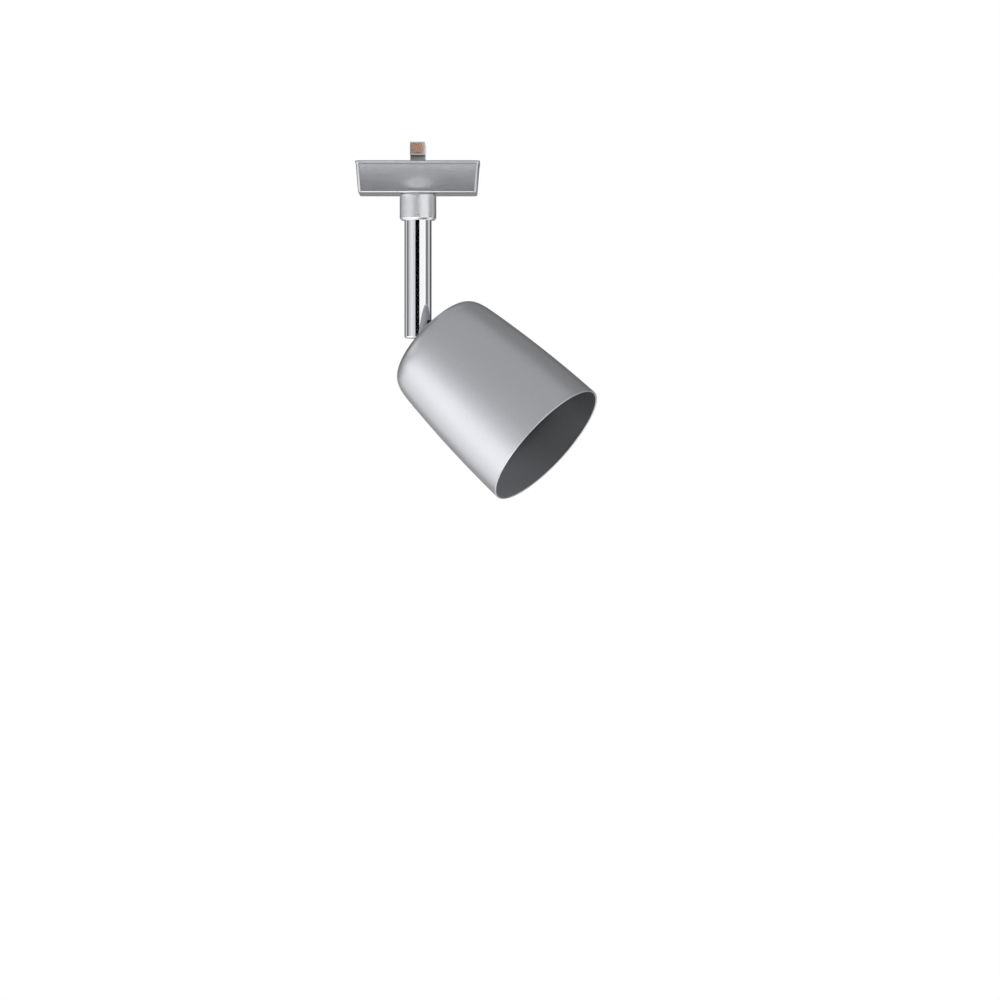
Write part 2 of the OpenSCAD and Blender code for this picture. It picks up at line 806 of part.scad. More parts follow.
module shade_screws() {
    l = holder_base - flange_near - 0.3;
    color("silver") on_head() shade_screw_places(holder_base) pan_screw(m3_r, m3_head_r, m3_head_h, l);
}

module holder_screw_places(h) {
    for (s = [-1, 1]) translate([s * holder_screw_x, 0, h]) children();
}

module lamp_bracket() {
    color("lightgray") on_head() difference() {
        translate([0, 0, bracket_h]) cylinder(r = bracket_r, h = bracket_t);
        translate([0, 0, bracket_h - cut]) cylinder(r = wire_hole_r, h = bracket_t + 2 * cut);
        shade_screw_places(bracket_h - cut) cylinder(r = m3_hole_r, h = bracket_t + 2 * cut);
        holder_screw_places(bracket_h - cut) cylinder(r = m3_r + thread_gap, h = bracket_t + 2 * cut);
        translate([earth_x, earth_y, bracket_h - cut])
            cylinder(r = m3_r + thread_gap, h = bracket_t + 2 * cut);
    }
}

// Two places, half a turn apart, that a bayonet pin sweeps while the lamp turns
module pin_sweep(r, h) {
    for (a = [0, 180]) rotate([0, 0, a]) {
        arc_band(pin_r - r, pin_r + r, 0, lamp_twist, h);
        translate([pin_r, 0, 0]) cylinder(r = r, h = h);
        rotate([0, 0, lamp_twist]) translate([pin_r, 0, 0]) cylinder(r = r, h = h);
    }
}

module lampholder() {
    notch_x = 1.8;
    notch_w = 3.8;
    tail_room = 1;
    color("ivory") on_head() difference() {
        intersection() {
            translate([0, 0, holder_base]) cylinder(r = holder_r, h = holder_h);
            block([-holder_r, -holder_w / 2, holder_base - cut],
                [holder_r, holder_w / 2, holder_front + cut]);
        }
        block([-chamber_l / 2, -chamber_w / 2, holder_base - cut],
            [chamber_l / 2, chamber_w / 2, holder_base + chamber_h]);
        block([notch_x, -holder_w, holder_base - cut], [notch_x + notch_w, 0, holder_base + 2.6]);
        for (s = [-1, 1])
            block([s * pin_r - tail_room, -tail_t / 2 - loose_gap, holder_base],
                [s * pin_r + tail_room, tail_t / 2 + loose_gap, cavity_bottom + cut]);
        translate([0, 0, cavity_bottom]) pin_sweep(pin_head_r + pin_room, cavity_top - cavity_bottom);
        translate([0, 0, cavity_top - cut]) pin_sweep(pin_neck_r + 0.3, bayonet_plate_t + 2 * cut);
        for (a = [lamp_twist, lamp_twist + 180]) rotate([0, 0, a])
            translate([pin_r, 0, cavity_top - cut])
                cylinder(r = pin_head_r + pin_room, h = bayonet_plate_t + 2 * cut);
        holder_screw_places(holder_base - cut) cylinder(r = m3_hole_r, h = holder_h + 2 * cut);
        holder_screw_places(holder_front - m3_head_h)
            cylinder(r1 = m3_hole_r, r2 = holder_screw_head_r + 0.1, h = m3_head_h);
    }
}

// A strip in the floor of each bayonet pocket, with a tail down into the wiring chamber
module holder_contacts() {
    strip_half = 1.6;
    strip_past = 8;
    tail_half = 0.8;
    tail_low = holder_base + 1.8;
    strip_low = cavity_bottom + run_gap;
    color("goldenrod") on_head() for (a = [0, 180]) rotate([0, 0, a]) {
        translate([0, 0, strip_low])
            arc_band(pin_r - strip_half, pin_r + strip_half, -strip_past, lamp_twist + strip_past,
                contact_t);
        block([pin_r - tail_half, -tail_t / 2, tail_low], [pin_r + tail_half, tail_t / 2, strip_low + 0.2]);
    }
}

module holder_screws() {
    head_h = m3_head_h - 0.1;
    shank_l = holder_front - bracket_h - head_h - 0.3;
    slot_half = 0.35;
    slot_h = 0.9;
    color("silver") on_head() holder_screw_places(holder_front - 0.05) difference() {
        union() {
            translate([0, 0, -head_h]) cylinder(r1 = m3_r, r2 = holder_screw_head_r, h = head_h);
            translate([0, 0, -head_h - shank_l]) cylinder(r = m3_r, h = shank_l + 0.01);
        }
        block([-holder_screw_head_r, -slot_half, -slot_h], [holder_screw_head_r, slot_half, cut]);
    }
}

module earth_screw() {
    head_r = 2.2;
    head_h = 1.6;
    color("silver") on_head() translate([earth_x, earth_y, holder_base + tag_t])
        pan_screw(m3_r, head_r, head_h, bracket_t + tag_t - 0.1);
}

// A ring tag under the earth screw, whose tongue meets the end of the core
module earth_tag() {
    tag_r = 2.3;
    tongue_l = 3.3;
    tongue_half = 0.9;
    tongue_turn = 165;
    color("goldenrod") on_head() translate([earth_x, earth_y, holder_base]) difference() {
        union() {
            cylinder(r = tag_r, h = tag_t);
            rotate([0, 0, tongue_turn]) block([0, -tongue_half, 0], [tongue_l, tongue_half, tag_t]);
        }
        translate([0, 0, -cut]) cylinder(r = m3_r + seat_gap, h = tag_t + 2 * cut);
    }
}

module head_cable() {
    start = cable_r + cable_tip_gap;
    color("gray") on_head() translate([0, 0, start]) cylinder(r = cable_r, h = cable_end_h - start);
}

// From the cable's cut end to a contact's tail behind the lampholder
module power_core(side) {
    start_x = core_circle_r * (side < 0 ? -1 : 0.5);
    start_y = core_circle_r * (side < 0 ? 0 : sin(60));
    on_head() tube([
        [start_x, start_y, cable_end_h + seat_gap],
        [start_x, start_y, cable_end_h + 0.5],
        [start_x, start_y, cable_end_h + 0.9],
        [2.1 * side, 0.5 * start_y, cable_end_h + 2.1],
        [(pin_r - 1.2) * side, 0, cable_end_h + 2.7]
    ], core_r);
}

module head_live_core() {
    color("saddlebrown") power_core(-1);
}

module head_neutral_core() {
    color("royalblue") power_core(1);
}

module head_earth_core() {
    start_x = core_circle_r * 0.5;
    start_y = -core_circle_r * sin(60);
    low = holder_base + core_r + 0.15;
    color("yellowgreen") on_head() tube([
        [start_x, start_y, cable_end_h + seat_gap],
        [start_x, start_y, cable_end_h + 0.5],
        [start_x, start_y, cable_end_h + 0.9],
        [1.7, -2.2, low + 0.6],
        [3.4, -4.6, low],
        [3.7, -7.0, low],
        [4.2, -8.6, low],
        [5.2, -9.4, low]
    ], core_r);
}

// ---------- lamp ----------

module lamp_base() {
    color("white") on_head() difference() {
        union() {
            translate([0, 0, lamp_rear + base_chamfer]) cylinder(r = base_r, h = base_h - base_chamfer);
            translate([0, 0, lamp_rear])
                cylinder(r1 = base_r - base_chamfer, r2 = base_r, h = base_chamfer);
        }
        for (s = [-1, 1])
            translate([s * pin_r, 0, lamp_rear - cut])
                cylinder(r = pin_neck_r + thread_gap, h = pin_socket_l + cut);
    }
}

module lamp_pins() {
    neck_h = pin_l - pin_head_h + pin_socket_l - seat_gap;
    color("silver") on_head() for (s = [-1, 1]) translate([s * pin_r, 0, lamp_rear - pin_l]) {
        cylinder(r = pin_head_r, h = pin_head_h);
        translate([0, 0, pin_head_h - cut]) cylinder(r = pin_neck_r, h = neck_h + cut);
    }
}

// The housing flares like a reflector from the base to the front ring
flare_steps = 12;
function flare_r(u) = housing_r0 + (housing_r1 - housing_r0) * sin(90 * pow(u, 0.9));
flare_start = lamp_rear + base_h - 1;
function flare_h(u) = flare_start + (housing_end - flare_start) * u;

module lamp_housing() {
    outer = [for (i = [0 : flare_steps]) let (u = i / flare_steps) [flare_r(u), flare_h(u)]];
    last_inner = housing_r1 - housing_wall;
    inner = [for (i = [flare_steps - 2 : -1 : 1]) let (u = i / flare_steps)
        [flare_r(u) - housing_wall, flare_h(u) + 0.6 * housing_wall * (1 - u)]];
    ledge = board_seat - 1.2;
    color("whitesmoke") on_head() rotate_extrude() polygon(concat(
        [[housing_r0 - housing_wall, housing_start], [housing_r0, housing_start]],
        outer,
        [[last_inner, housing_end], [last_inner, board_seat], [last_inner - 1.4, board_seat],
            [last_inner - 1.4, ledge]],
        [for (p = inner) if (p[1] < ledge - 0.3) [min(p[0], last_inner - 1.4), p[1]]],
        [[housing_r0 - housing_wall, flare_start + 1.2]]
    ));
}

// An upright board with its transformer on one side and a capacitor on the other
module driver_board() {
    low = lamp_rear + base_h + run_gap;
    high = board_seat - 3;
    half_w = 9;
    half_t = 0.6;
    transformer = [6.5, 5.5, 7];
    capacitor_r = 3.4;
    capacitor_h = 10;
    color("forestgreen") on_head() {
        block([-half_w, -half_t, low], [half_w, half_t, high]);
        translate([-7.5, half_t - 0.1, low + 2]) cube(transformer);
        translate([4, -capacitor_r - 0.2, low + 3]) cylinder(r = capacitor_r, h = capacitor_h);
    }
}

module led_board() {
    color("white") on_head() translate([0, 0, board_seat])
        cylinder(r = housing_r1 - housing_wall - seat_gap, h = board_t);
}

module led_chip() {
    color("gold") on_head() translate([0, 0, board_seat + board_t]) cylinder(r = chip_r, h = chip_t);
}

// A disc with the cone of its collimator behind it, over the diodes
module lamp_lens() {
    rim_r = lamp_r - 1.7;
    cone_r = 16;
    cone_rear = board_seat + board_t + chip_t + 0.6;
    color("aliceblue") on_head() {
        translate([0, 0, lens_rear]) cylinder(r = rim_r, h = lens_t);
        translate([0, 0, cone_rear])
            cylinder(r1 = chip_r + 1, r2 = cone_r, h = lens_rear + 0.2 - cone_rear);
    }
}

module front_ring() {
    inside = housing_r1 + run_gap;
    seat_in = lamp_r - 2.4;
    lens_in = lamp_r - 1.6;
    soft = 0.5;
    color("whitesmoke") on_head() rotate_extrude() polygon([
        [inside, ring_rear],
        [lamp_r - 0.2, ring_rear],
        [lamp_r, ring_rear + 0.6],
        [lamp_r, lamp_front - soft],
        [lamp_r - soft, lamp_front],
        [ring_lip_r, lamp_front],
        [ring_lip_r, lamp_front - ring_lip],
        [lens_in, lamp_front - ring_lip],
        [lens_in, lens_rear - run_gap],
        [seat_in, lens_rear - run_gap],
        [seat_in, housing_end + seat_gap],
        [inside, housing_end + seat_gap]
    ]);
}

// ---------- all the pieces ----------

adapter_cover();
base_plate();
track_foot();
live_contact();
neutral_contact();
earth_contact();
plate_screws();
terminal_block();
terminal_clamps();
terminal_screws();
swivel_nipple();
lock_washer();
nipple_nut();
stop_pin();
spring_washer();
swivel_collar();
glide_ring();
adapter_cable();
adapter_live_core();
adapter_neutral_core();
adapter_earth_core();
stem_tube();
stem_bush();
end_insert();
pivot_pins();
friction_washers();
stem_cable();
tilt_knuckle();
shade();
shade_screws();
lamp_bracket();
lampholder();
holder_contacts();
holder_screws();
earth_screw();
earth_tag();
head_cable();
head_live_core();
head_neutral_core();
head_earth_core();
lamp_base();
lamp_pins();
lamp_housing();
driver_board();
led_board();
led_chip();
lamp_lens();
front_ring();
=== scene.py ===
"""Track spotlight: smooth pieces, finishes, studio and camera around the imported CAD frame."""
import json
import math

import bmesh
import bpy
from mathutils import Matrix, Vector

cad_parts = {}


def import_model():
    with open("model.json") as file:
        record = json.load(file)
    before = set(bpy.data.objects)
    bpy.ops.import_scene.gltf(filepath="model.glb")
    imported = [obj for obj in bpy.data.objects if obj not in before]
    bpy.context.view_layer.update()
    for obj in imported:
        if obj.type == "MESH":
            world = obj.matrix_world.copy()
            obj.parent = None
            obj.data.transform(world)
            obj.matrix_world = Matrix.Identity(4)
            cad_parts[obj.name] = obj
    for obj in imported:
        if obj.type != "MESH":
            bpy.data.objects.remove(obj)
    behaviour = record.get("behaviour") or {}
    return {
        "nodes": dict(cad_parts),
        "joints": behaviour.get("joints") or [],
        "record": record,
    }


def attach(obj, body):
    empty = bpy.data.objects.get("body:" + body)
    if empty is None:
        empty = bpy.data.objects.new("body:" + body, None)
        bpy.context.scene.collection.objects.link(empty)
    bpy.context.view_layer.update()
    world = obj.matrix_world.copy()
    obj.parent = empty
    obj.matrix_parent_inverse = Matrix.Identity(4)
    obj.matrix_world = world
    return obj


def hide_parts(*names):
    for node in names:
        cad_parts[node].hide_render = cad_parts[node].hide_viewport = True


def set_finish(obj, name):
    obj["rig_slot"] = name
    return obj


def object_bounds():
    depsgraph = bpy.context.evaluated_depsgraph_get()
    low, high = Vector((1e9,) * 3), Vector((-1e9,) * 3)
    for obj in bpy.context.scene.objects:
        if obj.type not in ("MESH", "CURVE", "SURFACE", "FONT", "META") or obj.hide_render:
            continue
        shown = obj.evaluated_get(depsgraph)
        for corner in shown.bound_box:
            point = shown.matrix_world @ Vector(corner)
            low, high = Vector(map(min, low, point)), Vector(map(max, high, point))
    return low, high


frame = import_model()
cad_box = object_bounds()

MM = 0.001
NODES = frame["nodes"]
JOINTS = {j["name"]: j for j in frame["joints"]}
SLOTS = {p["node"]: p["material_slot"] for p in frame["record"]["subparts"]}
BODY_OF = {n: body for body, nodes in frame["record"]["behaviour"]["bodies"].items() for n in nodes}


# ---------- spaces and measures ----------

def space_at(origin, y_axis, z_axis):
    """A frame with its origin at a point, and the given unit Y and Z axes."""
    space = Matrix((y_axis.cross(z_axis), y_axis, z_axis)).transposed().to_4x4()
    space.translation = origin
    return space


PIVOT = Vector(JOINTS["tilt"]["pos_m"])
TILT_AXIS = Vector(JOINTS["tilt"]["axis"]).normalized()
HEAD_AXIS = Vector(JOINTS["lamp_twist"]["axis"]).normalized()
WORLD = Matrix.Identity(4)
STEM = space_at(Vector((0, 0, 0)), -TILT_AXIS, Vector((0, 0, 1)))
HEAD = space_at(PIVOT, -TILT_AXIS, HEAD_AXIS)


def extent(node, space=WORLD):
    """The lowest and highest corners of a CAD node, measured in a space."""
    inverse = space.inverted()
    points = [inverse @ v.co for v in NODES[node].data.vertices]
    return Vector(map(min, zip(*points))), Vector(map(max, zip(*points)))


# ---------- mesh building ----------

SHARP = 35


def rounded(corners, steps=5):
    """An outline of (x, y, fillet) corners, with each fillet turned into an arc."""
    points = []
    for i, (x, y, fillet) in enumerate(corners):
        here = Vector((x, y))
        if not fillet:
            points.append((x, y))
            continue
        before = (Vector(corners[i - 1][:2]) - here).normalized()
        after = (Vector(corners[(i + 1) % len(corners)][:2]) - here).normalized()
        half = before.angle(after) / 2
        centre = here + (before + after).normalized() * fillet / math.sin(half)
        start = here + before * fillet / math.tan(half) - centre
        end = here + after * fillet / math.tan(half) - centre
        sweep = start.angle_signed(end)
        for k in range(steps + 1):
            turn = Matrix.Rotation(-sweep * k / steps, 2)
            points.append(tuple(centre + turn @ start))
    return points


def lathe(outline, segments=160, shift=None, zone=None):
    """A mesh turned about Z from a closed outline of (radius, height) points.

    shift(radius, height, angle) may move a point, and zone(i) gives the material of the band after point i.
    """
    bm = bmesh.new()
    rings = []
    for r, h in outline:
        if r == 0:
            rings.append([bm.verts.new((0, 0, h))] * segments)
            continue
        ring = []
        for k in range(segments):
            a = math.tau * k / segments
            rr, hh = shift(r, h, a) if shift else (r, h)
            ring.append(bm.verts.new((rr * math.cos(a), rr * math.sin(a), hh)))
        rings.append(ring)
    for i, (low, high) in enumerate(zip(rings, rings[1:] + rings[:1])):
        for k in range(segments):
            n = (k + 1) % segments
            corners = list(dict.fromkeys((low[k], low[n], high[n], high[k])))
            if len(corners) > 2:
                face = bm.faces.new(corners)
                face.material_index = zone(i) if zone else 0
    return bm


def piece(name, bm, nodes, space=WORLD, sharp=SHARP):
    """Puts a mesh in place of CAD nodes, riding on their body; edges over the sharp angle stay hard."""
    bmesh.ops.recalc_face_normals(bm, faces=bm.faces)
    mesh = bpy.data.meshes.new(name)
    bm.to_mesh(mesh)
    bm.free()
    mesh.transform(space)
    obj = bpy.data.objects.new(name, mesh)
    bpy.context.scene.collection.objects.link(obj)
    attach(obj, BODY_OF[nodes[0]])
    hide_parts(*nodes)
    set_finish(obj, SLOTS[nodes[0]])
    return smoothed(obj, sharp)


def applied(obj, kind, **settings):
    """Adds one modifier and applies it to the mesh."""
    modifier = obj.modifiers.new(kind.lower(), kind)
    for key, value in settings.items():
        setattr(modifier, key, value)
    bpy.context.view_layer.objects.active = obj
    bpy.ops.object.modifier_apply(modifier=modifier.name)
    return obj


def smoothed(obj, sharp):
    """Smooth shading between the sharp edges, led by the larger faces so that flats stay flat."""
    obj.data.shade_smooth()
    obj.data.set_sharp_from_angle(angle=math.radians(sharp))
    return applied(obj, "WEIGHTED_NORMAL", keep_sharp=True)


def softened(node, width):
    """A copy of a CAD node's mesh with its hard edges rounded."""
    bm = bmesh.new()
    bm.from_mesh(NODES[node].data)
    bmesh.ops.remove_doubles(bm, verts=bm.verts, dist=1e-6)
    bmesh.ops.dissolve_limit(bm, angle_limit=math.radians(1), verts=bm.verts, edges=bm.edges)
    obj = piece(node + "_soft", bm, [node])
    applied(obj, "BEVEL", width=width, segments=2, limit_method="ANGLE", angle_limit=math.radians(40))
    return smoothed(obj, SHARP)


def cut_away(obj, low, high, space):
    """Cuts a box, given by its corners in a space, out of a piece."""
    bm = bmesh.new()
    bmesh.ops.create_cube(bm, size=1)
    size = Vector(high) - Vector(low)
    middle = (Vector(high) + Vector(low)) / 2
    for v in bm.verts:
        v.co = space @ (Vector(v.co[i] * size[i] for i in range(3)) + middle)
    mesh = bpy.data.meshes.new("cutter")
    bm.to_mesh(mesh)
    bm.free()
    cutter = bpy.data.objects.new("cutter", mesh)
    bpy.context.scene.collection.objects.link(cutter)
    bpy.context.view_layer.update()
    applied(obj, "BOOLEAN", operation="DIFFERENCE", solver="EXACT", object=cutter)
    bpy.data.objects.remove(cutter)
    bpy.data.meshes.remove(mesh)


# ---------- materials ----------

class Surface:
    """A Principled material whose colour, roughness and bump come from nodes."""

    def __init__(self, name, **fixed):
        self.material = bpy.data.materials.new(name)
        self.material.use_nodes = True
        self.nodes = self.material.node_tree.nodes
        self.links = self.material.node_tree.links
        self.shader = self.nodes["Principled BSDF"]
        self.place = self.node("ShaderNodeTexCoord").outputs["Object"]
        for key, value in fixed.items():
            self.shader.inputs[key.replace("_", " ")].default_value = value

    def node(self, kind, inputs=(), **settings):
        made = self.nodes.new(kind)
        for key, value in settings.items():
            setattr(made, key, value)
        for key, value in dict(inputs).items():
            if isinstance(value, bpy.types.NodeSocket):
                self.links.new(value, made.inputs[key])
            else:
                made.inputs[key].default_value = value
        return made

    def noise(self, scale, detail=2.0, rough=0.5, stretch=None):
        """Noise with features about 1/scale metres wide, from 0 to 1."""
        place = self.place
        if stretch:
            place = self.node("ShaderNodeMapping", {"Vector": place, "Scale": stretch}).outputs[0]
        made = self.node("ShaderNodeTexNoise", {
            "Vector": place, "Scale": scale, "Detail": detail, "Roughness": rough})
        return made.outputs["Fac"]

    def level(self, value, low, high, from_low=0.3, from_high=0.7):
        """Maps a value that runs from from_low to from_high onto low to high."""
        made = self.node("ShaderNodeMapRange", {
            "Value": value, "From Min": from_low, "From Max": from_high, "To Min": low, "To Max": high})
        return made.outputs[0]

    def tint(self, value, dark, light):
        """A colour between two others, by a value from 0 to 1."""
        ends = {"Factor": value, "A": (*dark, 1), "B": (*light, 1)}
        return self.node("ShaderNodeMix", ends, data_type="RGBA").outputs["Result"]

    def colour(self, socket):
        self.links.new(socket, self.shader.inputs["Base Color"])

    def roughness(self, socket):
        self.links.new(socket, self.shader.inputs["Roughness"])

    def bump(self, height, distance, strength):
        made = self.node("ShaderNodeBump", {"Height": height, "Distance": distance, "Strength": strength})
        self.links.new(made.outputs["Normal"], self.shader.inputs["Normal"])


def grey(value, cool=0.0):
    """A grey, a little towards blue."""
    return value * (1 - 0.6 * cool), value * (1 - 0.4 * cool), value * (1 + cool)


def satin_metal(name, value, rough, grain=3500, cool=0.035, metallic=1.0):
    """Satin silver: a fine sprayed grain, with slow cloudy changes in tone and gloss."""
    s = Surface(name, Metallic=metallic)
    cloud = s.noise(22, 3)
    speck = s.noise(grain, 3, 0.65)
    fleck = s.level(s.noise(grain * 0.6, 2), 0, 1)
    s.colour(s.tint(fleck, grey(value * 0.95, cool), grey(value * 1.05, cool)))
    both = s.node("ShaderNodeMath", {0: s.level(cloud, -0.025, 0.025), 1: s.level(speck, -0.03, 0.03)})
    s.roughness(s.node("ShaderNodeMath", {0: both.outputs[0], 1: rough}).outputs[0])
    s.bump(speck, 0.00003, 0.35)
    return s.material


def polished_chrome(name):
    """Bright chrome with faint handling marks."""
    s = Surface(name, Metallic=1.0)
    smear = s.noise(60, 4, 0.6, (1, 1, 0.25))
    s.colour(s.tint(s.level(smear, 0, 1), (0.90, 0.91, 0.925), (0.94, 0.95, 0.96)))
    s.roughness(s.level(smear, 0.035, 0.075))
    s.bump(s.noise(900, 2, 0.5, (1, 1, 0.15)), 0.000004, 0.15)
    return s.material


def bare_metal(name, dark, light, rough, stretch=(1, 1, 1)):
    """Rolled, turned or plated metal with fine directional marks and a little tarnish."""
    s = Surface(name, Metallic=1.0)
    marks = s.noise(2600, 3, 0.6, stretch)
    s.colour(s.tint(s.level(s.noise(180, 4, 0.6), 0, 1), dark, light))
    s.roughness(s.level(marks, rough - 0.06, rough + 0.08))
    s.bump(marks, 0.00002, 0.3)
    return s.material


def moulded(name, colour, rough=0.45, grain=2200, depth=0.00003):
    """Moulded plastic with a fine spark-eroded grain."""
    s = Surface(name, Specular_IOR_Level=0.45)
    grains = s.noise(grain, 3, 0.6)
    dark = tuple(0.93 * c for c in colour)
    light = tuple(min(1.0, 1.05 * c) for c in colour)
    s.colour(s.tint(s.level(s.noise(90, 3), 0, 1), dark, light))
    s.roughness(s.level(grains, rough - 0.07, rough + 0.07))
    s.bump(grains, depth, 0.4)
    return s.material


def woven_sleeve(name):
    """Glass-fibre sleeve: two crossing sets of threads."""
    s = Surface(name, Roughness=0.8)
    waves = [s.node("ShaderNodeTexWave", {
        "Vector": s.node("ShaderNodeMapping", {"Vector": s.place, "Rotation": (turn, turn, 0)}).outputs[0],
        "Scale": 420, "Distortion": 1.5, "Detail": 1}).outputs["Fac"] for turn in (0.8, -0.8)]
    weave = s.node("ShaderNodeMath", {0: waves[0], 1: waves[1]}, operation="MULTIPLY").outputs[0]
    s.colour(s.tint(weave, (0.10, 0.10, 0.105), (0.30, 0.30, 0.31)))
    s.bump(weave, 0.00012, 0.6)
    return s.material


def insulation(name, dark, light, striped=False):
    """A core's glossy insulation, in one colour or with a second one along it."""
    s = Surface(name, Roughness=0.3)
    if striped:
        band = s.node("ShaderNodeTexWave", {"Vector": s.place, "Scale": 90, "Distortion": 3}).outputs["Fac"]
        mix = s.level(band, 0, 1, 0.45, 0.55)
    else:
        mix = s.level(s.noise(700, 3), 0, 1)
    s.colour(s.tint(mix, dark, light))
    s.bump(s.noise(1800, 2), 0.00002, 0.2)
    return s.material


def steatite(name):
    """Unglazed ceramic with fine pores and pale mottling."""
    s = Surface(name, Specular_IOR_Level=0.35)
    pores = s.noise(2400, 4, 0.7)
    s.colour(s.tint(s.level(s.noise(240, 4), 0, 1), (0.72, 0.70, 0.63), (0.82, 0.80, 0.74)))
    s.roughness(s.level(pores, 0.55, 0.75))
    s.bump(pores, 0.00006, 0.5)
    return s.material


def circuit_board(name, mask, copper):
    """Solder mask over tracks: straight runs that change with the place."""
    s = Surface(name, Specular_IOR_Level=0.5)
    tracks = s.node("ShaderNodeTexBrick", {
        "Vector": s.place, "Scale": 160, "Color1": (0, 0, 0, 1), "Color2": (0.3, 0.3, 0.3, 1),
        "Mortar": (1, 1, 1, 1), "Mortar Size": 0.06}).outputs["Fac"]
    s.colour(s.tint(tracks, mask, copper))
    s.roughness(s.level(s.noise(900, 2), 0.28, 0.42))
    s.bump(tracks, 0.00004, 0.4)
    return s.material


def phosphor(name):
    """The soft yellow gel over the diodes."""
    s = Surface(name, Subsurface_Weight=0.25, Subsurface_Scale=0.001, Coat_Weight=0.3)
    s.colour(s.tint(s.level(s.noise(1500, 3), 0, 1), (0.80, 0.58, 0.10), (0.90, 0.72, 0.22)))
    s.roughness(s.level(s.noise(800, 2), 0.35, 0.5))
    s.bump(s.noise(1200, 3), 0.00005, 0.3)
    return s.material


def clear_lens(name):
    """Clear moulded acrylic."""
    s = Surface(name, Transmission_Weight=1.0, IOR=1.49)
    s.colour(s.tint(s.level(s.noise(150, 2), 0, 1), (0.93, 0.95, 0.96), (0.98, 0.99, 0.99)))
    s.roughness(s.level(s.noise(500, 2), 0.02, 0.08))
    return s.material


MATERIALS = {
    "silver_paint": satin_metal("cover_silver", 0.60, 0.2),
    "foot_grey": moulded("foot_plastic", (0.56, 0.56, 0.55)),
    "plate_grey": moulded("plate_plastic", (0.035, 0.035, 0.037), 0.5),
    "copper": bare_metal("strip_copper", (0.80, 0.42, 0.26), (0.92, 0.55, 0.38), 0.24),
    "brass": bare_metal("pressed_brass", (0.74, 0.54, 0.22), (0.86, 0.68, 0.34), 0.26),
    "steel": bare_metal("plated_steel", (0.55, 0.55, 0.56), (0.68, 0.68, 0.67), 0.28),
    "block_white": moulded("block_plastic", (0.75, 0.75, 0.72)),
    "collar_silver": satin_metal("collar_satin", 0.88, 0.26, 5000, 0.015),
    "chrome": polished_chrome("stem_chrome"),
    "bearing_white": moulded("bearing_plastic", (0.80, 0.80, 0.77), 0.3),
    "sleeve_grey": woven_sleeve("glass_sleeve"),
    "core_brown": insulation("core_brown", (0.10, 0.035, 0.012), (0.13, 0.05, 0.02)),
    "core_blue": insulation("core_blue", (0.01, 0.04, 0.28), (0.015, 0.06, 0.36)),
    "core_green": insulation("core_green", (0.05, 0.30, 0.03), (0.75, 0.62, 0.03), True),
    "cast_silver": satin_metal("cast_silver", 0.52, 0.38, 2600),
    "shade_silver": satin_metal("shade_silver", 0.66, 0.36),
    "ceramic_white": steatite("steatite"),
    "lamp_white": moulded("lamp_plastic", (0.80, 0.80, 0.80), 0.22, 1600, 0.00001),
    "board_green": circuit_board("driver_board", (0.010, 0.09, 0.03), (0.03, 0.17, 0.06)),
    "board_white": circuit_board("led_board", (0.75, 0.75, 0.74), (0.86, 0.86, 0.85)),
    "phosphor": phosphor("phosphor"),
    "lens_clear": clear_lens("lens_acrylic"),
}
# The bell's inside: the outside's satin metal at a third of its value and less metallic, painted shade for
# the dark inside of the deep cup.
BELL_INSIDE_PAINTED_SHADE = satin_metal("bell_inside_painted_shade", 0.22, 0.42, 3000, 0.05, 0.6)


def dress(obj, *materials):
    """Gives an object these materials in place of its own."""
    if obj.data.materials:
        obj.data.materials.clear()
    for material in materials:
        obj.data.materials.append(material)
    return obj


def finished(obj):
    """Gives a piece the material of its record slot."""
    return dress(obj, MATERIALS[obj["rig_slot"]])


# ---------- head ----------

# The shade's profile, as in the CAD
SHADE_WALL = 1.0 * MM
SHADE_LEAN = math.radians(0.91)
SHADE_BOW = 654 * MM
CORNER_L = 16.3 * MM
CORNER_DROP = 9.73 * MM
CORNER_POWER = 3.64
REAR_HOLE = 2.4 * MM

LENS_FACET = 3.2 * MM
LENS_FACET_DEPTH = 0.45 * MM
LENS_PLAIN_EDGE = 2.2 * MM
LENS_EDGE = 2.3 * MM


def shade():
    """The bell: a slightly bowed cone with a superellipse corner and a rolled rim."""
    low, high = extent("shade", HEAD)
    mouth, length, mouth_r = high.z, high.z - low.z, high.y
    inner_scale = (length - SHADE_WALL) / length
    side_steps, corner_steps, rim_steps = 28, 44, 14

    def radius(s):
        u = min(1.0, max(0.0, (s - length + CORNER_L) / CORNER_L))
        corner = CORNER_DROP * (1 - (1 - u ** CORNER_POWER) ** (1 / CORNER_POWER))
        return mouth_r - s * math.tan(SHADE_LEAN) - s * s / (2 * SHADE_BOW) - corner

    start = length - CORNER_L
    stations = [start * i / side_steps for i in range(1, side_steps + 1)]
    turns = [math.pi / 2 * i / corner_steps for i in range(1, corner_steps + 1)]
    stations += [start + CORNER_L * math.sin(a) for a in turns]
    rim_r = SHADE_WALL / 2
    rim = [(mouth_r - rim_r - rim_r * math.cos(a), mouth - rim_r + rim_r * math.sin(a))
           for a in (math.pi * i / rim_steps for i in range(rim_steps + 1))]
    outer = [(radius(s), mouth - s) for s in stations]
    inner = [(radius(s) - SHADE_WALL, mouth - s * inner_scale) for s in reversed(stations)]
    outline = rim + outer + [(REAR_HOLE, mouth - length), (REAR_HOLE, mouth - length + SHADE_WALL)] + inner
    inside_from = len(rim) + len(outer) + 1
    bm = lathe(outline, 224, zone=lambda i: 1 if i >= inside_from or i < 2 else 0)
    obj = piece("shade_bell", bm, ["shade"], HEAD, 30)
    # The inside faces and the rim's inner bands get the darker copy of the metal: painted shade.
    dress(obj, MATERIALS["shade_silver"], BELL_INSIDE_PAINTED_SHADE)


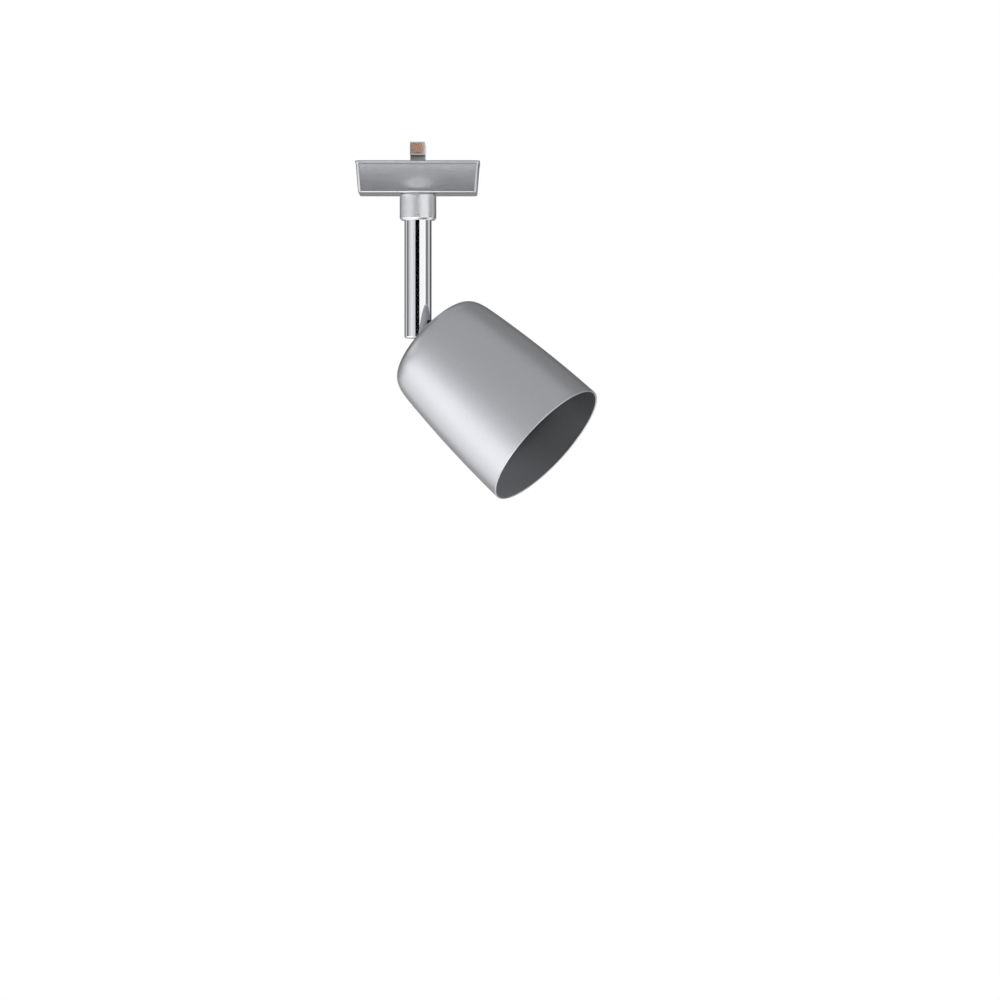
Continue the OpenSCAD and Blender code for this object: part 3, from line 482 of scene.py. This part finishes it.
def lamp_front():
    """The lamp's white front ring and its clear lens with moulded facets."""
    low, high = extent("front_ring", HEAD)
    rear, front, outer = low.z, high.z, high.y
    lip = 1.0 * MM
    ring = rounded([
        (outer - 2.4 * MM, rear, 0), (outer - 0.2 * MM, rear, 0.3 * MM),
        (outer, front, 1.2 * MM), (outer - 2.7 * MM, front, 0.4 * MM),
        (outer - 2.7 * MM, front - lip, 0), (outer - 1.6 * MM, front - lip, 0),
        (outer - 1.6 * MM, front - 3.4 * MM, 0), (outer - 2.4 * MM, front - 3.4 * MM, 0)], 8)
    finished(piece("front_bezel", lathe(ring, 160), ["front_ring"], HEAD))

    low, high = extent("lamp_lens", HEAD)
    back, face, rim = low.z, high.z, high.y
    row_h = LENS_FACET * math.sqrt(3) / 2
    facet_reach = 0.58 * LENS_FACET
    plain_from = rim - LENS_PLAIN_EDGE

    def dimple(r, h, a):
        """Lowers a point of the front face by its distance from the nearest facet's centre."""
        if h < face - 0.01 * MM or r > plain_from:
            return r, h
        x, y = r * math.cos(a), r * math.sin(a)
        near = []
        for row in (math.floor(y / row_h), math.floor(y / row_h) + 1):
            shift = 0.5 * (row % 2)
            column = round(x / LENS_FACET - shift) + shift
            near.append(math.hypot(x - column * LENS_FACET, y - row * row_h))
        return r, h - LENS_FACET_DEPTH * (min(near) / facet_reach) ** 2

    rings = 56
    plain = [(rim - 0.3 * MM, face), (rim, face - 0.3 * MM), (rim, face - LENS_EDGE)]
    facets = [(plain_from * i / rings, face) for i in range(rings + 1)]
    cone = [(16 * MM, face - LENS_EDGE), (5.5 * MM, back), (0, back)]
    bm = lathe(facets + plain + cone, 176, dimple)
    finished(piece("faceted_lens", bm, ["lamp_lens"], HEAD, 25))


# ---------- stem ----------

TUBE_WALL = 1.0 * MM
SLOT_HALF = 2.9 * MM
KNURLS = 84
KNURL_DEPTH = 0.035 * MM
KNURL_FADE = 0.35 * MM
COLLAR_BORE = 8.35 * MM
COLLAR_HOLE = 7.25 * MM


def stem_tube():
    """The chrome tube, with a rolled lower end and the slot that the head's arm swings in."""
    low, high = extent("stem_tube", STEM)
    r = high.y
    outline = rounded([
        (r - TUBE_WALL, high.z, 0), (r - TUBE_WALL, low.z, 0.1 * MM),
        (r, low.z, 0.85 * MM), (r, high.z, 0.1 * MM)], 12)
    obj = piece("chrome_tube", lathe(outline, 192), ["stem_tube"], STEM, 30)
    cut_away(obj, (0, -SLOT_HALF, low.z - MM), (2 * r, SLOT_HALF, PIVOT.z + SLOT_HALF), STEM)
    finished(smoothed(obj, 30))


def swivel_collar():
    """The satin collar: a fine straight knurl between a plain top band and a bevelled foot."""
    low, high = extent("swivel_collar")
    r = high.x
    knurl_top, knurl_low = high.z - 1.1 * MM, low.z + 2.0 * MM
    corners = [
        (COLLAR_BORE, high.z, 0.1 * MM), (r, high.z, 0.4 * MM), (r, high.z - 1.0 * MM, 0),
        (r, low.z + 1.5 * MM, 0), (r, low.z + 1.1 * MM, 0.3 * MM), (r - 1.0 * MM, low.z, 0.25 * MM),
        (COLLAR_HOLE, low.z, 0.15 * MM), (COLLAR_HOLE, low.z + 1.5 * MM, 0),
        (COLLAR_BORE, low.z + 1.5 * MM, 0)]
    outline = rounded(corners)
    at = next(i for i, p in enumerate(outline) if p == corners[2][:2])
    steps = 14
    span = [(r, knurl_top + (knurl_low - knurl_top) * i / steps) for i in range(steps + 1)]
    outline = outline[:at + 1] + span + outline[at + 1:]

    def knurl(rr, h, a):
        """Sinks the grooves between the knurls, fading out at the ends of the knurled band."""
        inside = min(1.0, max(0.0, min(knurl_top - h, h - knurl_low) / KNURL_FADE))
        if rr < r - 0.001 * MM:
            inside = 0
        return rr - KNURL_DEPTH * inside * (0.5 - 0.5 * math.cos(KNURLS * a)) ** 0.7, h

    finished(piece("knurled_collar", lathe(outline, KNURLS * 6, knurl), ["swivel_collar"]))


# ---------- adapter ----------

COVER_DRAFT = math.radians(4.6)
LIP_DRAFT = math.radians(3.4)
COVER_WALL = 1.6 * MM
COVER_FLOOR = 2.0 * MM
CORNER_R = 2.0 * MM
EDGE_R = 0.7 * MM
SMALL_R = 0.3 * MM
LIP_H = 0.8 * MM
LIP_STEP = 0.22 * MM
CABLE_HOLE = 5.05 * MM
FACE_BOW = 0.5 * MM
SWELL = 0.35 * MM
SWELL_HALF_W = 7 * MM
SWELL_HALF_H = 4.2 * MM
SWELL_RISE = 1.2 * MM


def box_loop(bm, half_l, half_w, r, z, swell=0.0):
    """One level of a rounded box: a loop with the same number of points at every size.

    The two long sides swell outward at their middle.
    """
    long_steps, short_steps, arc_steps = 56, 24, 7
    loop = []
    for quarter in range(4):
        sx, sy = ((1, 1), (-1, 1), (-1, -1), (1, -1))[quarter]
        for k in range(arc_steps + 1):
            a = math.pi / 2 * (quarter + k / arc_steps)
            loop.append((sx * (half_l - r) + r * math.cos(a), sy * (half_w - r) + r * math.sin(a)))
        steps = long_steps if quarter % 2 == 0 else short_steps
        nx, ny = ((-1, 1), (-1, -1), (1, -1), (1, 1))[quarter]
        a = math.pi / 2 * (quarter + 1)
        end = (nx * (half_l - r) + r * math.cos(a), ny * (half_w - r) + r * math.sin(a))
        start = loop[-1]
        for k in range(1, steps):
            t = k / steps
            x, y = start[0] + (end[0] - start[0]) * t, start[1] + (end[1] - start[1]) * t
            if quarter % 2 == 0:
                y += math.copysign(swell * math.exp(-(x / SWELL_HALF_W) ** 2), y)
            loop.append((x, y))
    return [bm.verts.new((x, y, z)) for x, y in loop]


def adapter_cover():
    """The moulded cover: drafted sides under a low lip, with a faint swell over the collar."""
    low, high = extent("adapter_cover")
    half_l, half_w, depth = high.x, high.y, -low.z
    bm = bmesh.new()

    def level(z, inset, r=CORNER_R, swell=0.0):
        return box_loop(bm, half_l - inset, half_w - inset - bow(z), r, z, swell)

    def draft(z):
        """How far the sides lean in at a height."""
        return -z * math.tan(COVER_DRAFT)

    def bow(z):
        """How far the long faces fall behind their straight draft towards the bottom."""
        return FACE_BOW * (z / depth) ** 2

    levels = [level(0, 0.3 * MM), level(-0.1 * MM, 0.08 * MM), level(-0.3 * MM, draft(-0.3 * MM))]
    lip_in = draft(-0.3 * MM) + (LIP_H - 0.3 * MM) * math.tan(LIP_DRAFT)
    under_lip = LIP_H + 0.3 * MM
    levels += [level(-LIP_H, lip_in), level(-LIP_H - 0.15 * MM, draft(-LIP_H) + 0.6 * LIP_STEP),
               level(-under_lip, draft(-LIP_H) + LIP_STEP)]
    side_steps, arc_steps = 22, 9
    side_low = depth - EDGE_R
    for i in range(1, side_steps + 1):
        z = -under_lip - (side_low - under_lip) * i / side_steps
        swell = SWELL * math.exp(-((z + depth - SWELL_RISE) / SWELL_HALF_H) ** 2)
        levels.append(level(z, draft(z) + LIP_STEP, CORNER_R, swell))
    side_in = draft(-side_low) + LIP_STEP
    lean_sin, lean_cos = math.sin(COVER_DRAFT), math.cos(COVER_DRAFT)
    for i in range(1, arc_steps + 1):
        a = (math.pi / 2 - COVER_DRAFT) * i / arc_steps + COVER_DRAFT
        z = -side_low - EDGE_R * (math.sin(a) - lean_sin) / (1 - lean_sin)
        inset = side_in + EDGE_R * (lean_cos - math.cos(a))
        corner = CORNER_R - EDGE_R * 0.6 * (1 - math.cos(a))
        levels.append(level(z, inset, corner, SWELL * (1 - i / arc_steps)))
    count = len(levels[-1])

    def circle_like(loop, r, z):
        """A circle whose points face those of a loop."""
        return [bm.verts.new((*(Vector(v.co[:2]).normalized() * r), z)) for v in loop]

    floor_z = low.z + COVER_FLOOR
    levels.append(circle_like(levels[-1], CABLE_HOLE, low.z))
    levels.append(circle_like(levels[-1], CABLE_HOLE, floor_z))
    inner_in = draft(floor_z) + COVER_WALL
    levels.append(level(floor_z, inner_in, SMALL_R))
    levels.append(level(-0.2 * MM, COVER_WALL, SMALL_R))
    levels.append(level(0, COVER_WALL - 0.1 * MM, SMALL_R))
    for a, b in zip(levels, levels[1:] + levels[:1]):
        for k in range(count):
            n = (k + 1) % count
            bm.faces.new((a[k], a[n], b[n], b[k]))
    finished(piece("moulded_cover", bm, ["adapter_cover"]))


# ---------- the object ----------

shade()
lamp_front()
stem_tube()
swivel_collar()
adapter_cover()
for node, width in (
        ("base_plate", 0.25), ("track_foot", 0.5), ("live_contact", 0.08), ("neutral_contact", 0.08),
        ("earth_contact", 0.06), ("end_insert", 0.15), ("tilt_knuckle", 0.2), ("lampholder", 0.4)):
    finished(softened(node, width * MM))
for node, obj in NODES.items():
    if not obj.hide_render:
        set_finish(obj, SLOTS[node])
        dress(obj, MATERIALS[SLOTS[node]])


# ---------- studio ----------

def emission(name, colour):
    """A plain glowing surface."""
    material = bpy.data.materials.new(name)
    material.use_nodes = True
    nodes, links = material.node_tree.nodes, material.node_tree.links
    nodes.clear()
    glow = nodes.new("ShaderNodeEmission")
    glow.inputs["Color"].default_value = (*colour, 1)
    links.new(glow.outputs[0], nodes.new("ShaderNodeOutputMaterial").inputs["Surface"])
    return material


def stage_mesh(name, corners, faces, material):
    mesh = bpy.data.meshes.new(name)
    mesh.from_pydata(corners, [], faces)
    mesh.materials.append(material)
    obj = bpy.data.objects.new(name, mesh)
    bpy.context.scene.collection.objects.link(obj)
    return obj


def reflected(obj):
    """Hides a stage object from everything but reflections."""
    for ray in ("camera", "diffuse", "shadow", "transmission", "volume_scatter"):
        setattr(obj, "visible_" + ray, False)


def card(name, from_az, to_az, low, high, radius, value, cool=0.0):
    """A curved studio card around the object, which only reflections see.

    Azimuths are in degrees from the camera's side, positive to the right; low and high are heights.
    """
    steps = max(2, round((to_az - from_az) / 4))
    corners = []
    for i in range(steps + 1):
        a = math.radians(from_az + (to_az - from_az) * i / steps)
        corners += [(radius * math.sin(a), -radius * math.cos(a), z) for z in (low, high)]
    faces = [(2 * i, 2 * i + 2, 2 * i + 3, 2 * i + 1) for i in range(steps)]
    reflected(stage_mesh(name, corners, faces, emission(name, grey(value, cool))))


def studio():
    """Cards in a far ring give the chrome its stripes; near ones shade the satin metal and the paint."""
    ring = (
        ("card_back_left", -180, -124, 0.22), ("card_left_far", -124, -108, 0.66),
        ("card_left_gap", -108, -95, 0.16), ("card_left_dim", -95, -82, 0.30), ("card_left", -82, -66, 0.62),
        ("card_left_near", -66, -38, 0.80), ("card_front_left", -38, -22, 0.68),
        ("card_camera", -22, 13, 0.002), ("card_right_dim", 69, 94, 0.21), ("card_right", 94, 122, 0.58),
        ("card_right_gap", 122, 143, 0.02), ("card_back_right", 143, 180, 0.3))
    for name, a, b, value in ring:
        card(name, a, b, -0.13, 0.32, 3.0, value, 0.02)
    card("card_front_high", -80, 60, 0.14, 0.85, 1.25, 0.54)
    card("card_front_low", -24, 24, -0.24, -0.04, 2.6, 1.9)
    card("card_front_lower", -36, 28, -0.75, -0.11, 1.3, 0.29)
    card("card_key_near", -56, -42, -1.4, -0.14, 1.2, 0.98)
    card("card_key", -100, -56, -1.4, -0.14, 1.2, 1.4)
    card("card_key_far", -120, -100, -1.4, -0.35, 1.2, 1.1)
    card("card_key_back", -142, -120, -1.4, -0.35, 1.2, 0.9)
    card("card_right_low", 55, 96, -0.5, -0.14, 1.2, 1.0)
    card("card_right_shade", 80, 104, -0.9, 1.0, 3.1, 0.1)
    card("card_behind", 112, 248, -0.1, 2.2, 3.19, 0.13)
    card("card_behind_low", 112, 248, -2.39, -0.1, 3.19, 0.3)
    for name, front, back, half_w, z, value in (
            ("card_ceiling", -1.6, 0.2, 1.6, 0.85, 0.5), ("card_ceiling_back", 0.2, 1.6, 1.6, 0.85, 0.28),
            ("card_below_front", -1.3, -0.35, 0.6, -1.5, 2.5), ("card_below", -0.35, 0.3, 0.6, -1.5, 0.95)):
        corners = [(-half_w, front, z), (half_w, front, z), (half_w, back, z), (-half_w, back, z)]
        reflected(stage_mesh(name, corners, [(0, 1, 2, 3)], emission(name, grey(value))))


def floor():
    """A pale round floor, as far below as in a room, lifted to white where nothing shades it."""
    r, z = 6.0, -2.4
    corners = [(r * math.cos(a), r * math.sin(a), z) for a in (math.tau * k / 96 for k in range(96))]
    material = bpy.data.materials.new("pale_floor")
    material.use_nodes = True
    nodes, links = material.node_tree.nodes, material.node_tree.links
    shader = nodes["Principled BSDF"]
    shader.inputs["Base Color"].default_value = (0.85, 0.85, 0.85, 1)
    shader.inputs["Roughness"].default_value = 0.9
    shader.inputs["Specular IOR Level"].default_value = 0.0
    shader.inputs["Emission Color"].default_value = (1, 1, 1, 1)
    path = nodes.new("ShaderNodeLightPath")
    seen = nodes.new("ShaderNodeMath")
    seen.operation = "MAXIMUM"
    links.new(path.outputs["Is Camera Ray"], seen.inputs[0])
    links.new(path.outputs["Is Glossy Ray"], seen.inputs[1])
    lift = nodes.new("ShaderNodeMath")
    lift.operation = "MULTIPLY"
    lift.inputs[1].default_value = 0.58
    links.new(seen.outputs[0], lift.inputs[0])
    links.new(lift.outputs[0], shader.inputs["Emission Strength"])
    stage_mesh("floor", corners, [tuple(range(96))], material)


def world():
    """White to the camera, to reflections and through glass; a plain soft light to everything else."""
    made = bpy.data.worlds.new("studio")
    bpy.context.scene.world = made
    made.use_nodes = True
    nodes, links = made.node_tree.nodes, made.node_tree.links
    nodes.clear()
    path = nodes.new("ShaderNodeLightPath")
    seen = path.outputs["Is Camera Ray"]
    for ray in ("Is Glossy Ray", "Is Transmission Ray"):
        either = nodes.new("ShaderNodeMath")
        either.operation = "MAXIMUM"
        links.new(seen, either.inputs[0])
        links.new(path.outputs[ray], either.inputs[1])
        seen = either.outputs[0]
    strength = nodes.new("ShaderNodeMapRange")
    strength.inputs["To Min"].default_value = 0.4
    strength.inputs["To Max"].default_value = 1.0
    links.new(seen, strength.inputs["Value"])
    background = nodes.new("ShaderNodeBackground")
    background.inputs["Color"].default_value = (1, 1, 1, 1)
    links.new(strength.outputs[0], background.inputs["Strength"])
    links.new(background.outputs[0], nodes.new("ShaderNodeOutputWorld").inputs["Surface"])


def lamp(name, place, target, size, power):
    """A square softbox aimed at a point, which no reflection shows."""
    data = bpy.data.lights.new(name, "AREA")
    data.size = size
    data.energy = power
    obj = bpy.data.objects.new(name, data)
    obj.location = place
    obj.rotation_euler = (Vector(target) - Vector(place)).to_track_quat("-Z", "Y").to_euler()
    obj.visible_glossy = False
    bpy.context.scene.collection.objects.link(obj)


def camera():
    """Level with the head, straight on: a long lens about two metres away."""
    data = bpy.data.cameras.new("camera")
    data.lens = 144
    data.sensor_width = 36
    obj = bpy.data.objects.new("camera", data)
    obj.location = (0.0429, -2.094, -0.1765)
    obj.rotation_euler = (math.pi / 2, 0, 0)
    bpy.context.scene.collection.objects.link(obj)
    bpy.context.scene.camera = obj


camera()
world()
studio()
floor()
middle = (cad_box[0] + cad_box[1]) / 2
lamp("key", (-1.5, -0.9, -0.25), middle, 0.9, 4)
lamp("fill", (1.7, -0.45, 0.1), middle, 0.8, 34)
bpy.context.scene.view_settings.view_transform = "Standard"
